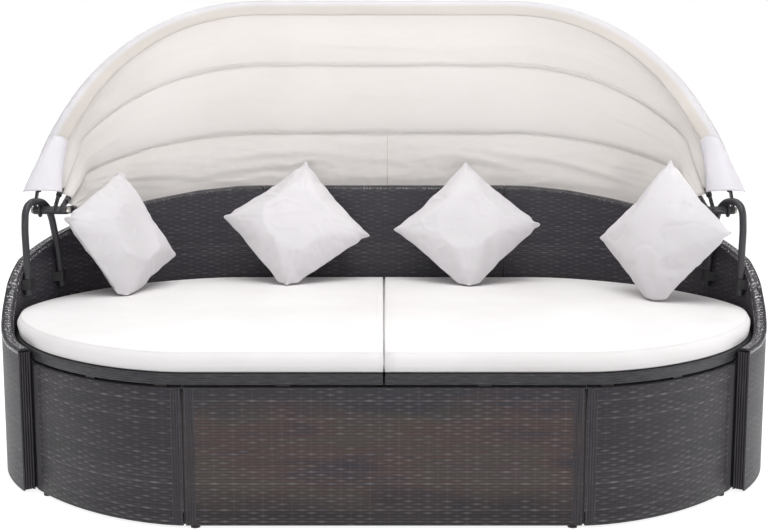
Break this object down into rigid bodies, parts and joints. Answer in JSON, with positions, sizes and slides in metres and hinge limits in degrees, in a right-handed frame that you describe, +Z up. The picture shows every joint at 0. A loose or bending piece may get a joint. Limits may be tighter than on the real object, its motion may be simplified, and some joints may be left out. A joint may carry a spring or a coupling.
{
  "type": "outdoor daybed with canopy",
  "caption": "Oval wicker daybed with wrap-around backrest, padded seat halves, scatter cushions and a folding cloth hood on hinged hoops.",
  "frame": {"origin": "on the ground, in the middle of the part's extent in plan", "axes": "+X to the right of someone who looks at the front, +Y to the back, +Z up"},
  "size_m": [1.9998, 1.4156, 1.242],
  "materials": {
    "wicker": "woven flat strands, satin",
    "tube": "dark powder coat",
    "glide": "moulded, matt",
    "cover": "plain woven cover",
    "canvas": "thin woven cloth",
    "fastener": "zinc plated"
  },
  "bodies": {
    "seat": {"base_weave_centre": "wicker", "base_weave_left": "wicker", "base_weave_right": "wicker", "back_weave_centre": "wicker", "back_weave_left": "wicker", "back_weave_right": "wicker", "deck_weave_left": "wicker", "deck_weave_right": "wicker", "base_frame_centre": "tube", "base_frame_left": "tube", "base_frame_right": "tube", "back_frame_centre": "tube", "back_frame_left": "tube", "back_frame_right": "tube", "ledger_centre": "tube", "ledger_left": "tube", "ledger_right": "tube", "deck_frame_left": "tube", "deck_frame_right": "tube", "centre_beam": "tube", "canopy_bracket_left": "tube", "canopy_bracket_right": "tube", "bracket_clip_front_left": "tube", "bracket_clip_rear_left": "tube", "bracket_clip_front_right": "tube", "bracket_clip_rear_right": "tube", "foot_glide_centre": "glide", "foot_glide_front_left": "glide", "foot_glide_corner_left": "glide", "foot_glide_arm_left": "glide", "foot_glide_rear_left": "glide", "foot_glide_front_right": "glide", "foot_glide_corner_right": "glide", "foot_glide_arm_right": "glide", "foot_glide_rear_right": "glide", "seat_cushion_left": "cover", "seat_cushion_right": "cover", "pillow_left": "cover", "pillow_centre_left": "cover", "pillow_centre_right": "cover", "pillow_right": "cover", "pivot_bolt_left": "fastener", "pivot_nut_left": "fastener", "pivot_bolt_right": "fastener", "pivot_nut_right": "fastener"},
    "hood_rear": {"hoop_rear": "tube"},
    "hood_third": {"hoop_third": "tube", "canopy_cloth_rear": "canvas"},
    "hood_second": {"hoop_second": "tube", "canopy_cloth_middle": "canvas"},
    "hood_front": {"hoop_front": "tube", "canopy_cloth_front": "canvas", "canopy_hem_front": "canvas", "canopy_flap_left": "canvas", "canopy_flap_right": "canvas"}
  },
  "joints": [
    {"name": "hood_swing", "type": "hinge", "parent": "seat", "child": "hood_rear", "pos_m": [0, -0.0038, 0.65], "axis": [1, 0, 0], "range_deg": [0, 35]},
    {"name": "fold_rear", "type": "hinge", "parent": "hood_rear", "child": "hood_third", "pos_m": [0, -0.0038, 0.65], "axis": [1, 0, 0], "range_deg": [-15, 0], "deforming": ["canopy_cloth_rear"]},
    {"name": "fold_middle", "type": "hinge", "parent": "hood_third", "child": "hood_second", "pos_m": [0, -0.0038, 0.65], "axis": [1, 0, 0], "range_deg": [-15, 0], "deforming": ["canopy_cloth_middle"]},
    {"name": "fold_front", "type": "hinge", "parent": "hood_second", "child": "hood_front", "pos_m": [0, -0.0038, 0.65], "axis": [1, 0, 0], "range_deg": [-15, 0], "deforming": ["canopy_cloth_front"]}
  ]
}
